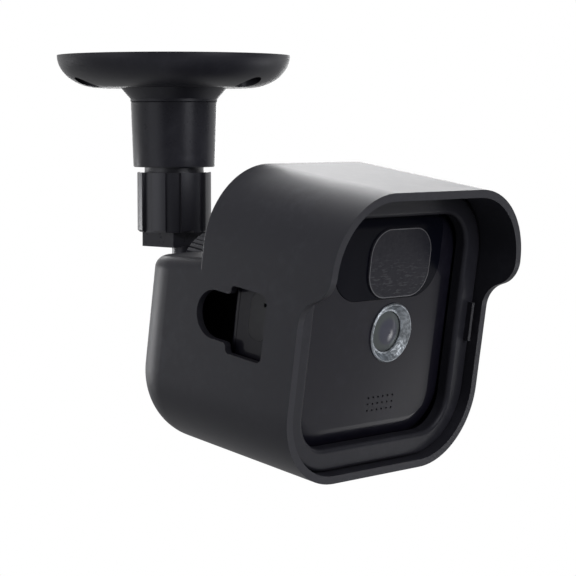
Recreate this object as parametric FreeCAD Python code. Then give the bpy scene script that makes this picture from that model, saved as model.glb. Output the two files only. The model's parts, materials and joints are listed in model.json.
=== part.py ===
import FreeCAD, Part
import math
import os

from FreeCAD import Vector

# Ceiling camera bracket: a round plate, a short post with a swivel, a ball joint
# and a hooded box that holds a square battery camera behind a snap-in front frame.
# Row frame: origin at the centre of the plate's flat face, +Z up towards the ceiling,
# the camera looks along -Y. Sizes are in millimetres and degrees.

# Ceiling plate
PLATE_R = 34.3
PLATE_DEPTH = 9.5
PLATE_EDGE = 12.5
PLATE_WALL = 2.2
NECK_TOP_R = 15.6
NECK_HEIGHT = 4.0
NECK_LIP = 0.8
NECK_PROUD = 0.1
SCREW_HOLES = 3
SCREW_HOLE_R = 2.1
SCREW_POCKET_R = 3.7
SCREW_CIRCLE_R = 27.0
SCREW_FIRST_DEG = -81.0
SCREW_SEAT = 3.2
BOSS_WALL = 1.6
WEB_THICK = 1.4
WEB_DEPTH = 5.0

# Post sleeve
SLEEVE_TOP_R = 12.75
SLEEVE_LOW_R = 12.1
SLEEVE_LENGTH = 19.2
SLEEVE_FLOOR = 5.5
SLEEVE_EDGE = 0.25
KEY_R = 6.4
KEY_DEPTH = 1.8
KEY_SIDES = 6

# Screw that holds the sleeve under the plate
POST_SCREW_R = 2.0
POST_HEAD_R = 3.9
POST_HEAD_HEIGHT = 2.6
POST_CROWN_R = 2.7
POST_WASHER_R = 5.0
POST_WASHER_THICK = 0.8
POST_HUB_R = 8.0
POST_HUB_CORE_R = 12.2
POST_HUB_FLOOR = 4.4
DRIVE_SLOT = 1.0

# Swivel spindle and its washers
SPINDLE_R = 5.4
FLANGE_R = 8.3
FLANGE_THICK = 3.0
THRUST_THICK = 0.6
THRUST_BORE_R = 2.6

# Ribbed lock nut
NUT_NECK_R = 8.8
NUT_BODY_R = 10.1
NUT_FIN_R = 11.1
NUT_FIN_WIDTH = 4.0
NUT_FINS = 8
NUT_FIRST_DEG = 22.5
NUT_LENGTH = 17.5
NUT_NECK_SHOWN = 1.6
NUT_CHAMFER = 0.6
NUT_STEP = 0.5

# Square block and elbow under the nut
BLOCK_SIDE = 13.7
BLOCK_HEIGHT = 4.3
BLOCK_EDGE = 0.3
BLOCK_GAP = 0.1
ELBOW_R = 4.2
ELBOW_BACK = 5.0
ELBOW_BEND_R = 4.6
ELBOW_END = 2.0

# Ball stud
BALL_R = 6.4
BALL_NECK_R = 3.2
SHANK_R = 2.0
SHANK_LENGTH = 6.0
BALL_REACH = 21.0
BALL_DROP = 7.4

# Head pose: nose-down pitch of the housing at rest
HEAD_PITCH = 8.63

# The battery camera, which sets the housing's size
CAMERA_HALF = 35.5
CAMERA_ROUND = 17.8
CAMERA_FACE_GAP = 0.4
CAMERA_SKIRT = 17.6
CAMERA_WALL = 1.6
CAMERA_EDGE = 8.4
CAMERA_BODY = 19.7
CAMERA_BODY_EDGE = 1.5
BULGE_INSET = 5.5
BULGE_ROUND = 6.0
CAMERA_LENGTH = 27.6
CASE_SEAM = 0.15

# Hooded housing, in its own upright frame: y = 0 is the plane of the lower front rim,
# +y runs to the back, z = 0 is the mid height of the hood.
SHELL_WALL = 2.2
SIDE_ROOM = 1.3
HEAD_ROOM = 2.3
BACK_ROOM = 0.5
HOOD_HALF = CAMERA_HALF + SIDE_ROOM + SHELL_WALL
HOOD_HALF_HEIGHT = CAMERA_HALF + HEAD_ROOM + SHELL_WALL
HOOD_TOP_ROUND = 21.3
HOOD_LOW_ROUND = 21.2
HOOD_BACK_EDGE = 0.8
VISOR_REACH = 9.6
VISOR_START = 4.6
VISOR_END = 19.2
REAR_LENGTH = 25.4
REAR_TOP = 14.8
REAR_FALL = 0.165
REAR_ROUND = 13.7
REAR_TOP_ROUND = 3.6

# Side port for the power lead
PORT_LOW = -8.1
PORT_HIGH = 10.1
PORT_FRONT = 11.5
PORT_WIDTH = 13.2
PORT_CORNER = 1.2
PORT_TOP_CORNER = 2.6
PORT_LOW_CORNER = 1.8
PORT_ROUND_R = 6.55
PORT_ROUND_OFFSET = 5.4
PORT_ROUND_Z = 1.05

# Ball socket on the back wall
SOCKET_Z = 2.2
SOCKET_R = 9.0
SOCKET_PROUD = 7.0
SOCKET_WALL = 0.8
SOCKET_FLOOR = 2.2
SEAT_WALL = 1.2
SEAT_GRIP = 1.5
SEAT_FLOOR = 1.1
SEAT_SLITS = 4
SEAT_FIRST_DEG = 45.0
SEAT_SLIT_WIDTH = 1.0
BALL_BEHIND_WALL = 3.5

# Knurled clamp ring
RING_R = 12.1
RING_LIP = 2.9
RING_OPENING_R = 7.3
RING_RIDGE_COUNT = 48
RING_GROOVE = 0.55
RING_CHAMFER = 0.7
RING_WALL_GAP = 0.8
RING_END_GAP = 0.4

# Ribs that centre the camera in the shell
RIB_THICK = 1.4
RIB_SPREAD = 17.0
RIB_FRONT = 13.0
REAR_RIB_X = 20.0
REAR_RIB_LOW = 18.0

# Front frame
FRAME_RECESS = 2.7
FRAME_FACE = 2.0
FRAME_SKIRT = 1.4
FRAME_DEPTH = 3.7
TUNNEL_WALL = 1.5
OPENING_LAP = 5.7
OPENING_LAP_LOW = 4.4
OPENING_LAP_HIGH = 4.7
OPENING_HALF = CAMERA_HALF - OPENING_LAP
OPENING_LOW = OPENING_LAP_LOW - CAMERA_HALF
OPENING_HIGH = CAMERA_HALF - OPENING_LAP_HIGH
OPENING_ROUND = 10.0
OPENING_EDGE = 1.2
TAB_LENGTH = 11.0
TAB_THICK = 1.0
TAB_PROUD = 1.7
TAB_INSET = 2.3

# Things in the camera's face
FACE_X = 6.3
LENS_Z = -2.2
LENS_RING_R = 8.3
LENS_RING_EDGE = 0.3
LENS_MOUTH_R = 7.8
LENS_SPIGOT_R = 7.7
LENS_GLASS_R = 5.6
LENS_RING_PROUD = 0.6
LENS_FUNNEL = 2.3
LENS_GLASS_THICK = 0.8
LENS_DOME = 1.3
LENS_LAND = 0.5
LENS_LAND_DEPTH = 0.35
BARREL_R = 6.4
BARREL_BORE_R = 4.6
BARREL_RECESS_R = 5.1
ELEMENT_R = 14.0
ELEMENT_DEPTH = 1.9
WINDOW_DROP = 18.1
WINDOW_Z = CAMERA_HALF - WINDOW_DROP
WINDOW_HALF = 12.7
WINDOW_HALF_HEIGHT = 9.7
WINDOW_ROUND = 7.6
WINDOW_PROUD = 0.5
WINDOW_CROWN = 0.35
WINDOW_WALL = 1.0
PANEL_LIP = 0.1
PANEL_LOW = WINDOW_Z - WINDOW_HALF_HEIGHT - PANEL_LIP
PANEL_HALF = 21.6
PANEL_INSET = 2.9
PANEL_HIGH = CAMERA_HALF - PANEL_INSET
PANEL_ROUND = 10.0
PANEL_TOP_ROUND = 5.9
PANEL_THICK = 0.8
PANEL_PROUD = 0.12
PANEL_X = 2.0
SOUND_X = 5.4
SOUND_RISE = 13.6
SOUND_Z = SOUND_RISE - CAMERA_HALF
SOUND_COLUMNS = 6
SOUND_ROWS = 3
SOUND_PITCH_X = 2.0
SOUND_PITCH_Z = 1.8
SOUND_HOLE_R = 0.32

# Inside the camera
BOARD_INSET = 6.5
BOARD_HALF = CAMERA_HALF - BOARD_INSET
BOARD_THICK = 1.2
BOARD_GAP = 5.6
BOARD_ROUND = 12.0
SENSOR_HALF = 3.4
SENSOR_THICK = 0.9
PIR_R = 4.6
PIR_HEIGHT = 4.2
PIR_RIM = 0.5
SPEAKER_R = 6.0
SPEAKER_SHIFT = 0.9
SPEAKER_Z = SOUND_Z + SPEAKER_SHIFT
SPEAKER_THICK = 3.2
SPEAKER_RIM = 0.8
SPEAKER_DISH = 0.5
POST_INSET = 5.0
POST_X = BOARD_HALF - POST_INSET
POST_R = 2.3
BOARD_SCREW_R = 0.9
BOARD_SCREW_HEAD_R = 1.8
BOARD_SCREW_HEAD = 0.9
BOARD_SCREW_LENGTH = 3.6
CELL_R = 7.1
CELL_LENGTH = 49.2
CELL_PITCH = 16.4
CELL_Z = -1.0
CELL_NUB_R = 2.7
CELL_NUB = 1.1
TRAY_THICK = 0.9
TRAY_WALL = 1.2
CONTACT_THICK = 0.5
CONTACT_REACH = 2.4
BUNG_HALF = 3.2
BUNG_HALF_HEIGHT = 6.2
BUNG_ROUND = 2.8
BUNG_FIT = 0.04
BUNG_DEPTH = 2.6
BUNG_Y = 10.4
BUNG_Z = 3.0
BUNG_NOTCH_Z = 6.0
BUNG_NOTCH = 1.0

# Clearances
SHAFT_FIT = 0.08
THREAD_FIT = 0.10
BALL_FIT = 0.3
FACE_FIT = 0.02
SLIDE_FIT = 0.3
SEAT_FIT = 0.15
CUT = 2.0
PICK = 0.001

# Heights down the post
SLEEVE_TOP_Z = -(PLATE_DEPTH + NECK_HEIGHT)
SLEEVE_LOW_Z = SLEEVE_TOP_Z - SLEEVE_LENGTH
SLEEVE_BORE_Z = SLEEVE_TOP_Z - SLEEVE_FLOOR
THRUST_LOW_Z = SLEEVE_BORE_Z - THRUST_THICK
FLANGE_TOP_Z = THRUST_LOW_Z - FACE_FIT
FLANGE_LOW_Z = FLANGE_TOP_Z - FLANGE_THICK
FRICTION_TOP_Z = FLANGE_LOW_Z - FACE_FIT
NUT_TOP_Z = FRICTION_TOP_Z - THRUST_THICK
NUT_FIN_TOP_Z = SLEEVE_LOW_Z - NUT_NECK_SHOWN
NUT_LOW_Z = NUT_FIN_TOP_Z - NUT_LENGTH
BLOCK_TOP_Z = NUT_LOW_Z - BLOCK_GAP
BLOCK_LOW_Z = BLOCK_TOP_Z - BLOCK_HEIGHT
STUD_Z = BLOCK_LOW_Z - BALL_DROP

# Places along the housing
FRAME_BACK = FRAME_RECESS + FRAME_DEPTH
FACE_Y = FRAME_BACK + CAMERA_FACE_GAP
CAMERA_BACK = FACE_Y + CAMERA_LENGTH
HOOD_LENGTH = CAMERA_BACK + BACK_ROOM + SHELL_WALL
REAR_BACK = HOOD_LENGTH + REAR_LENGTH
BALL_Y = REAR_BACK + BALL_BEHIND_WALL
CASE_FRONT = FACE_Y + CAMERA_SKIRT + CASE_SEAM
BODY_BACK = FACE_Y + CAMERA_BODY
BOARD_FRONT = FACE_Y + CAMERA_WALL + BOARD_GAP
BOARD_BACK = BOARD_FRONT + BOARD_THICK
GLASS_FRONT = FACE_Y - LENS_RING_PROUD + LENS_FUNNEL
GLASS_BACK = GLASS_FRONT + LENS_GLASS_THICK
ELEMENT_BACK = GLASS_BACK + ELEMENT_DEPTH
TRAY_BACK = BOARD_BACK + BOARD_SCREW_HEAD + TRAY_THICK
CELL_Y = TRAY_BACK + CELL_R

PIVOT = Vector(0, -BALL_REACH, STUD_Z)
UP = Vector(0, 0, 1)
BACK = Vector(0, 1, 0)
RIGHT = Vector(1, 0, 0)


def place_head(shape):
    """Puts a solid of the housing's own frame at its rest pose on the ball."""
    shape = shape.copy()
    shape.translate(Vector(0, -BALL_Y, -SOCKET_Z))
    shape.rotate(Vector(0, 0, 0), RIGHT, HEAD_PITCH)
    shape.translate(PIVOT)
    return shape


def post_rod(radius, top, low, x=0.0, y=0.0):
    return Part.makeCylinder(radius, top - low, Vector(x, y, low), UP)


def depth_rod(radius, front, back, x=0.0, z=0.0):
    return Part.makeCylinder(radius, back - front, Vector(x, front, z), BACK)


def block(x0, x1, y0, y1, z0, z1):
    return Part.makeBox(x1 - x0, y1 - y0, z1 - z0, Vector(x0, y0, z0))


def arc_edge(centre, radius, start, end, across, along):
    """Arc in the plane of two unit vectors, from one angle to another in degrees."""
    points = []
    for angle in (start, (start + end) / 2, end):
        turn = math.radians(angle)
        points.append(centre + across * (radius * math.cos(turn)) + along * (radius * math.sin(turn)))
    return Part.Arc(*points).toShape()


def line(start, end):
    return Part.LineSegment(start, end).toShape()


def closed_face(edges):
    return Part.Face(Part.Wire(Part.__sortEdges__(edges)))


def turned(points):
    """Solid of revolution about Z from (radius, height) corners."""
    corners = [Vector(r, 0, z) for r, z in points]
    face = Part.Face(Part.makePolygon(corners + corners[:1]))
    return face.revolve(Vector(0, 0, 0), UP, 360)


def turned_depth(points, x=0.0, z=0.0):
    """Solid of revolution about the housing's depth from (radius, y) corners."""
    corners = [Vector(x + r, y, z) for r, y in points]
    face = Part.Face(Part.makePolygon(corners + corners[:1]))
    return face.revolve(Vector(x, 0, z), BACK, 360)


def window_prism(half, low, high, low_round, high_round, front, back, x=0.0):
    """Prism along the depth with rounded lower and upper corners."""
    across, along = RIGHT, UP
    left, right = x - half, x + half

    def at(px, pz):
        return Vector(px, front, pz)

    edges = [
        line(at(left + low_round, low), at(right - low_round, low)),
        arc_edge(at(right - low_round, low + low_round), low_round, -90, 0, across, along),
        line(at(right, low + low_round), at(right, high - high_round)),
        arc_edge(at(right - high_round, high - high_round), high_round, 0, 90, across, along),
        line(at(right - high_round, high), at(left + high_round, high)),
        arc_edge(at(left + high_round, high - high_round), high_round, 90, 180, across, along),
        line(at(left, high - high_round), at(left, low + low_round)),
        arc_edge(at(left + low_round, low + low_round), low_round, 180, 270, across, along),
    ]
    return closed_face(edges).extrude(Vector(0, back - front, 0))


def edges_at(shape, axis, value):
    """Edges that lie wholly in the plane where one coordinate has a value."""
    found = []
    for edge in shape.Edges:
        box = edge.BoundBox
        low, high = {"y": (box.YMin, box.YMax), "z": (box.ZMin, box.ZMax)}[axis]
        if abs(low - value) < PICK and abs(high - value) < PICK:
            found.append(edge)
    return found


def ring_places(count, radius, first):
    """Centres of equal copies round the post, as (x, y)."""
    places = []
    for index in range(count):
        turn = math.radians(first + index * 360.0 / count)
        places.append((radius * math.cos(turn), radius * math.sin(turn)))
    return places


def star_prism(count, outer, inner, front, back):
    """Prism along the depth with straight V grooves round its rim."""
    corners = []
    for index in range(2 * count):
        turn = math.pi * index / count
        radius = outer if index % 2 == 0 else inner
        corners.append(Vector(radius * math.cos(turn), front, radius * math.sin(turn)))
    face = Part.Face(Part.makePolygon(corners + corners[:1]))
    return face.extrude(Vector(0, back - front, 0))


def save(name, shape):
    """Writes one node, with its solids alone."""
    clean = shape.removeSplitter()
    solids = clean.Solids
    result = solids[0] if len(solids) == 1 else Part.makeCompound(solids)
    result.exportStep("parts/" + name + ".step")
    print(name, len(solids), round(result.Volume, 1), result.isValid())


def plate_outline(shrink, inner_r, floor_z):
    """Half section of the dish, its wall inset by a thickness."""
    centre = Vector(PLATE_R - PLATE_EDGE, 0, 0)
    reach = PLATE_EDGE - shrink
    drop = PLATE_DEPTH - shrink
    ellipse = Part.Ellipse(centre + Vector(reach, 0, 0), centre + Vector(0, 0, -drop), centre)
    edge = Part.ArcOfEllipse(ellipse, 0, math.pi / 2).toShape()
    rim = Vector(PLATE_R - shrink, 0, 0)
    foot = centre + Vector(0, 0, -drop)
    corners = [foot, Vector(inner_r, 0, floor_z), Vector(inner_r, 0, 0), rim]
    edges = [edge] + [line(a, b) for a, b in zip(corners, corners[1:])]
    return closed_face(edges).revolve(Vector(0, 0, 0), UP, 360)


def plate_neck():
    foot_r = SLEEVE_TOP_R + NECK_PROUD
    return turned([
        (0, 0),
        (POST_HUB_R, 0),
        (POST_HUB_R, PLATE_WALL - PLATE_DEPTH),
        (NECK_TOP_R, PLATE_WALL - PLATE_DEPTH),
        (NECK_TOP_R, -PLATE_DEPTH),
        (foot_r, SLEEVE_TOP_Z + NECK_LIP),
        (foot_r, SLEEVE_TOP_Z),
        (0, SLEEVE_TOP_Z),
    ])


def ceiling_plate():
    """Hollow dish with screw bosses, webs and a keyed hub for the sleeve."""
    solid_dish = plate_outline(0.0, 0.0, -PLATE_DEPTH)
    hollow = plate_outline(PLATE_WALL, POST_HUB_R, -(PLATE_DEPTH - PLATE_WALL))
    dish = solid_dish.cut(hollow).fuse(plate_neck())
    inside = []
    for x, y in ring_places(SCREW_HOLES, SCREW_CIRCLE_R, SCREW_FIRST_DEG):
        inside.append(post_rod(SCREW_POCKET_R + BOSS_WALL, 0, -PLATE_DEPTH, x, y))
    for index in range(SCREW_HOLES):
        web = block(POST_HUB_R - CUT, PLATE_R - PLATE_WALL / 2, -WEB_THICK / 2, WEB_THICK / 2,
                    -PLATE_DEPTH, -WEB_DEPTH / 2)
        web.rotate(Vector(0, 0, 0), UP, SCREW_FIRST_DEG + (index + 0.5) * 360.0 / SCREW_HOLES)
        inside.append(web)
    core = post_rod(POST_HUB_CORE_R, CUT, SLEEVE_TOP_Z + PLATE_WALL)
    dish = dish.cut(core.cut(post_rod(POST_HUB_R, CUT, SLEEVE_TOP_Z)))
    for piece in inside:
        dish = dish.fuse(piece.common(solid_dish))
    for x, y in ring_places(SCREW_HOLES, SCREW_CIRCLE_R, SCREW_FIRST_DEG):
        dish = dish.cut(post_rod(SCREW_HOLE_R, CUT, -PLATE_DEPTH - CUT, x, y))
        dish = dish.cut(post_rod(SCREW_POCKET_R, -SCREW_SEAT, -PLATE_DEPTH - CUT, x, y))
    dish = dish.fuse(key_prism(KEY_R, SLEEVE_TOP_Z, SLEEVE_TOP_Z - KEY_DEPTH))
    head_z = SLEEVE_TOP_Z + POST_HUB_FLOOR
    dish = dish.cut(post_rod(POST_WASHER_R + SEAT_FIT, CUT, head_z))
    return dish.cut(post_rod(POST_SCREW_R + SEAT_FIT, CUT, SLEEVE_TOP_Z - KEY_DEPTH - CUT))


def key_prism(radius, top, low):
    """Many-sided key that stops the sleeve turning on the plate."""
    corners = [Vector(x, y, low) for x, y in ring_places(KEY_SIDES, radius, 0.0)]
    face = Part.Face(Part.makePolygon(corners + corners[:1]))
    return face.extrude(Vector(0, 0, top - low))


def post_sleeve():
    """Drafted smooth sleeve with a threaded bore for the lock nut."""
    sleeve = turned([
        (0, SLEEVE_TOP_Z),
        (SLEEVE_TOP_R - SLEEVE_EDGE, SLEEVE_TOP_Z),
        (SLEEVE_TOP_R, SLEEVE_TOP_Z - SLEEVE_EDGE),
        (SLEEVE_LOW_R, SLEEVE_LOW_Z + SLEEVE_EDGE),
        (SLEEVE_LOW_R - SLEEVE_EDGE, SLEEVE_LOW_Z),
        (0, SLEEVE_LOW_Z),
    ])
    sleeve = sleeve.cut(post_rod(NUT_NECK_R + SHAFT_FIT, SLEEVE_BORE_Z, SLEEVE_LOW_Z - CUT))
    key_low = SLEEVE_TOP_Z - KEY_DEPTH - SEAT_FIT
    sleeve = sleeve.cut(key_prism(KEY_R + SEAT_FIT, SLEEVE_TOP_Z + CUT, key_low))
    return sleeve.cut(post_rod(POST_SCREW_R, SLEEVE_TOP_Z, SLEEVE_BORE_Z - CUT))


def post_washer():
    seat = SLEEVE_TOP_Z + POST_HUB_FLOOR
    return turned([
        (POST_SCREW_R + SEAT_FIT, seat),
        (POST_WASHER_R, seat),
        (POST_WASHER_R, seat + POST_WASHER_THICK),
        (POST_SCREW_R + SEAT_FIT, seat + POST_WASHER_THICK),
    ])


def post_screw():
    """Pan-head screw from the plate's recess into the sleeve's floor."""
    seat = SLEEVE_TOP_Z + POST_HUB_FLOOR + POST_WASHER_THICK
    top = seat + POST_HEAD_HEIGHT
    screw = turned([
        (0, SLEEVE_BORE_Z + FACE_FIT),
        (POST_SCREW_R, SLEEVE_BORE_Z + FACE_FIT),
        (POST_SCREW_R, seat),
        (POST_HEAD_R, seat),
        (POST_HEAD_R, seat + POST_HEAD_HEIGHT / 2),
        (POST_CROWN_R, top),
        (0, top),
    ])
    for turn in (0, 90):
        reach = POST_HEAD_R / 2
        slot = block(-reach, reach, -DRIVE_SLOT / 2, DRIVE_SLOT / 2,
                     seat + POST_HEAD_HEIGHT / 2, top + CUT)
        slot.rotate(Vector(0, 0, 0), UP, turn)
        screw = screw.cut(slot)
    return screw


def flat_washer(top, bore_r):
    return turned([
        (bore_r, top),
        (FLANGE_R, top),
        (FLANGE_R, top - THRUST_THICK),
        (bore_r, top - THRUST_THICK),
    ])


def lock_nut():
    """Ribbed nut whose threaded neck runs up into the sleeve."""
    envelope = turned([
        (0, NUT_FIN_TOP_Z),
        (NUT_FIN_R, NUT_FIN_TOP_Z),
        (NUT_FIN_R, NUT_LOW_Z + NUT_CHAMFER),
        (NUT_FIN_R - NUT_CHAMFER, NUT_LOW_Z),
        (0, NUT_LOW_Z),
    ])
    nut = post_rod(NUT_BODY_R, NUT_FIN_TOP_Z, NUT_LOW_Z)
    for index in range(NUT_FINS):
        fin = block(0, NUT_FIN_R + CUT, -NUT_FIN_WIDTH / 2, NUT_FIN_WIDTH / 2,
                    NUT_LOW_Z, NUT_FIN_TOP_Z)
        fin.rotate(Vector(0, 0, 0), UP, NUT_FIRST_DEG + index * 360.0 / NUT_FINS)
        nut = nut.fuse(fin.common(envelope))
    nut = nut.fuse(post_rod(NUT_NECK_R, NUT_TOP_Z, NUT_FIN_TOP_Z - NUT_STEP))
    return nut.cut(post_rod(SPINDLE_R + SHAFT_FIT, NUT_TOP_Z + CUT, NUT_LOW_Z - CUT))


def swivel_block():
    """Spindle with its flange, the square block and the elbow, one moulding."""
    spindle = turned([
        (0, FLANGE_TOP_Z),
        (FLANGE_R, FLANGE_TOP_Z),
        (FLANGE_R, FLANGE_LOW_Z),
        (SPINDLE_R, FLANGE_LOW_Z),
        (SPINDLE_R, BLOCK_TOP_Z),
        (0, BLOCK_TOP_Z),
    ])
    half = BLOCK_SIDE / 2
    square = block(-half, half, -half, half, BLOCK_LOW_Z, BLOCK_TOP_Z)
    uprights = [e for e in square.Edges if e.BoundBox.ZLength > BLOCK_HEIGHT / 2]
    square = square.makeFillet(BLOCK_EDGE, uprights)
    bend_y = -ELBOW_BACK - ELBOW_BEND_R
    bend_z = STUD_Z + ELBOW_BEND_R
    start = Vector(0, -ELBOW_BACK, BLOCK_LOW_Z + BLOCK_EDGE)
    path = Part.Wire([
        line(start, Vector(0, -ELBOW_BACK, bend_z)),
        arc_edge(Vector(0, bend_y, bend_z), ELBOW_BEND_R, 0, -90, BACK, UP),
        line(Vector(0, bend_y, STUD_Z), Vector(0, bend_y - ELBOW_END, STUD_Z)),
    ])
    circle = Part.Wire(Part.makeCircle(ELBOW_R, start, UP))
    elbow = path.makePipeShell([circle], True, False)
    body = spindle.fuse(square).fuse(elbow)
    face_y = bend_y - ELBOW_END
    return body.cut(depth_rod(SHANK_R, face_y - CUT, face_y + SHANK_LENGTH, 0, STUD_Z))


def ball_stud():
    """Ball with a plain shank pressed into the elbow."""
    face_y = -ELBOW_BACK - ELBOW_BEND_R - ELBOW_END
    ball = Part.makeSphere(BALL_R, PIVOT)
    neck = depth_rod(BALL_NECK_R, -BALL_REACH, face_y, 0, STUD_Z)
    shank = depth_rod(SHANK_R, -BALL_REACH, face_y + SHANK_LENGTH, 0, STUD_Z)
    return ball.fuse(neck).fuse(shank)


def ball_seat():
    """Split plastic cup that grips the ball just past its middle."""
    outer = BALL_R + BALL_FIT + SEAT_WALL
    front = BALL_Y - BALL_R - BALL_FIT - SEAT_FLOOR
    seat = depth_rod(outer, front, BALL_Y + SEAT_GRIP, 0, SOCKET_Z)
    seat = seat.cut(Part.makeSphere(BALL_R + BALL_FIT, Vector(0, BALL_Y, SOCKET_Z)))
    for index in range(SEAT_SLITS):
        slit = block(BALL_R / 2, outer + CUT, BALL_Y - BALL_R / 2, BALL_Y + SEAT_GRIP + CUT,
                     -SEAT_SLIT_WIDTH / 2, SEAT_SLIT_WIDTH / 2)
        slit.rotate(Vector(0, 0, 0), BACK, SEAT_FIRST_DEG + index * 360.0 / SEAT_SLITS)
        slit.translate(Vector(0, 0, SOCKET_Z))
        seat = seat.cut(slit)
    return seat


def clamp_ring():
    """Knurled ring nut that closes over the ball and screws on the socket."""
    back = BALL_Y + SOCKET_PROUD - BALL_BEHIND_WALL + RING_END_GAP + RING_LIP
    front = REAR_BACK + RING_WALL_GAP
    thread_end = back - RING_LIP
    ring = star_prism(RING_RIDGE_COUNT, RING_R, RING_R - RING_GROOVE, front, back)
    ring.translate(Vector(0, 0, SOCKET_Z))
    envelope = turned_depth([
        (0, front),
        (RING_R - RING_CHAMFER, front),
        (RING_R, front + RING_CHAMFER),
        (RING_R, back - RING_CHAMFER),
        (RING_R - RING_CHAMFER, back),
        (0, back),
    ], 0, SOCKET_Z)
    ring = ring.common(envelope)
    ring = ring.cut(depth_rod(SOCKET_R + THREAD_FIT, front - CUT, thread_end, 0, SOCKET_Z))
    clear = BALL_R + BALL_FIT + THREAD_FIT
    mouth_r = math.sqrt(clear ** 2 - (thread_end - BALL_Y) ** 2)
    opening = turned_depth([
        (0, thread_end - SEAT_FIT),
        (mouth_r, thread_end - SEAT_FIT),
        (mouth_r, thread_end),
        (RING_OPENING_R, back + FACE_FIT),
        (0, back + FACE_FIT),
    ], 0, SOCKET_Z)
    return ring.cut(opening)


def hood_form(inset):
    """Hood block with its rounded section, inset by a wall, with no visor cut."""
    back = HOOD_LENGTH - inset
    return window_prism(HOOD_HALF - inset, -HOOD_HALF_HEIGHT + inset, HOOD_HALF_HEIGHT - inset,
                        HOOD_LOW_ROUND - inset, HOOD_TOP_ROUND - inset, -VISOR_REACH, back)


def rear_top(y, inset):
    """Height of the rear box's sloping top at a depth, lowered by a wall."""
    return REAR_TOP - inset - REAR_FALL * (y - HOOD_LENGTH)


def rear_form(inset):
    """Lower rear box with a sloping top and rounded back edges, inset by a wall."""
    half = HOOD_HALF - inset
    low = -HOOD_HALF_HEIGHT + inset
    back = REAR_BACK - inset
    corner = HOOD_LOW_ROUND - inset
    front = HOOD_LENGTH / 2
    high = rear_top(front, inset) + CUT

    def at(px, pz):
        return Vector(px, front, pz)

    edges = [
        line(at(-half + corner, low), at(half - corner, low)),
        arc_edge(at(half - corner, low + corner), corner, -90, 0, RIGHT, UP),
        line(at(half, low + corner), at(half, high)),
        line(at(half, high), at(-half, high)),
        line(at(-half, high), at(-half, low + corner)),
        arc_edge(at(-half + corner, low + corner), corner, 180, 270, RIGHT, UP),
    ]
    form = closed_face(edges).extrude(Vector(0, back - front, 0))
    rim = [e for e in edges_at(form, "y", back) if abs(e.CenterOfMass.z - high) > PICK]
    form = form.makeFillet(REAR_ROUND - inset, rim).cut(above_rear(inset, front, back))
    crown = []
    for edge in form.Edges:
        if edge.BoundBox.YMax < front + CUT / 2:
            continue
        if all(abs(v.Point.z - rear_top(v.Point.y, inset)) < PICK for v in edge.Vertexes):
            crown.append(edge)
    return form.makeFillet(REAR_TOP_ROUND - inset, crown)


def above_rear(inset, front, back):
    """Everything over the sloping top."""
    near, far = front - CUT, back + CUT
    roof = HOOD_HALF_HEIGHT
    corners = [(near, rear_top(near, inset)), (far, rear_top(far, inset)), (far, roof), (near, roof)]
    points = [Vector(-HOOD_HALF - CUT, y, z) for y, z in corners]
    face = Part.Face(Part.makePolygon(points + points[:1]))
    return face.extrude(Vector(2 * (HOOD_HALF + CUT), 0, 0))


def visor_cutter():
    """Everything in front of the hood's rim: straight, an S bend, straight."""
    rise = VISOR_END - VISOR_START
    bend = (VISOR_REACH ** 2 + rise ** 2) / (4 * VISOR_REACH)
    turn = math.degrees(math.asin(rise / (2 * bend)))
    far = HOOD_HALF_HEIGHT + CUT
    side = -HOOD_HALF - CUT

    def at(y, z):
        return Vector(side, y, z)

    low_start = at(0, VISOR_START)
    high_end = at(-VISOR_REACH, VISOR_END)
    ahead = -VISOR_REACH - CUT
    edges = [
        line(at(ahead, -far), at(0, -far)),
        line(at(0, -far), low_start),
        arc_edge(at(-bend, VISOR_START), bend, 0, turn, BACK, UP),
        arc_edge(at(-VISOR_REACH + bend, VISOR_END), bend, 180 + turn, 180, BACK, UP),
        line(high_end, at(-VISOR_REACH, far)),
        line(at(-VISOR_REACH, far), at(ahead, far)),
        line(at(ahead, far), at(ahead, -far)),
    ]
    return closed_face(edges).extrude(Vector(-2 * side, 0, 0))


def port_cutter():
    """Keyhole through the left wall: a rounded rectangle and a round-ended slot."""
    outside = -HOOD_HALF - CUT
    through = SHELL_WALL + 2 * CUT
    inside = outside + through
    round_y = PORT_FRONT + PORT_WIDTH + PORT_ROUND_OFFSET
    low, high = PORT_ROUND_Z - PORT_ROUND_R, PORT_ROUND_Z + PORT_ROUND_R
    hole = block(outside, inside, PORT_FRONT, PORT_FRONT + PORT_WIDTH, PORT_LOW, PORT_HIGH)
    hole = hole.fuse(block(outside, inside, PORT_FRONT + CUT, round_y, low, high)).removeSplitter()
    long_edges = [e for e in hole.Edges if e.BoundBox.XLength > through / 2]
    behind = [e for e in long_edges if PORT_FRONT + CUT / 2 < e.BoundBox.YMin < round_y - CUT]
    hole = hole.makeFillet(PORT_CORNER, behind)
    for radius, height in ((PORT_LOW_CORNER, PORT_LOW), (PORT_TOP_CORNER, PORT_HIGH)):
        ahead = [e for e in edges_at(hole, "z", height) if e.BoundBox.YMax < PORT_FRONT + PICK]
        hole = hole.makeFillet(radius, ahead)
    middle = Vector(outside, round_y, PORT_ROUND_Z)
    return hole.fuse(Part.makeCylinder(PORT_ROUND_R, through, middle, RIGHT))


def camera_ribs():
    """Straight ribs along the walls that centre the camera."""
    gap = CAMERA_HALF + SLIDE_FIT
    back = HOOD_LENGTH - SHELL_WALL / 2
    half = RIB_THICK / 2
    wall = HOOD_HALF - SHELL_WALL / 2
    height = HOOD_HALF_HEIGHT - SHELL_WALL / 2
    ribs = []
    for place in (-RIB_SPREAD, RIB_SPREAD):
        ribs.append(block(gap, wall, RIB_FRONT, back, place - half, place + half))
        ribs.append(block(-wall, -gap, RIB_FRONT, back, place - half, place + half))
        ribs.append(block(place - half, place + half, RIB_FRONT, back, gap, height))
        ribs.append(block(place - half, place + half, RIB_FRONT, back, -height, -gap))
    return ribs


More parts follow.
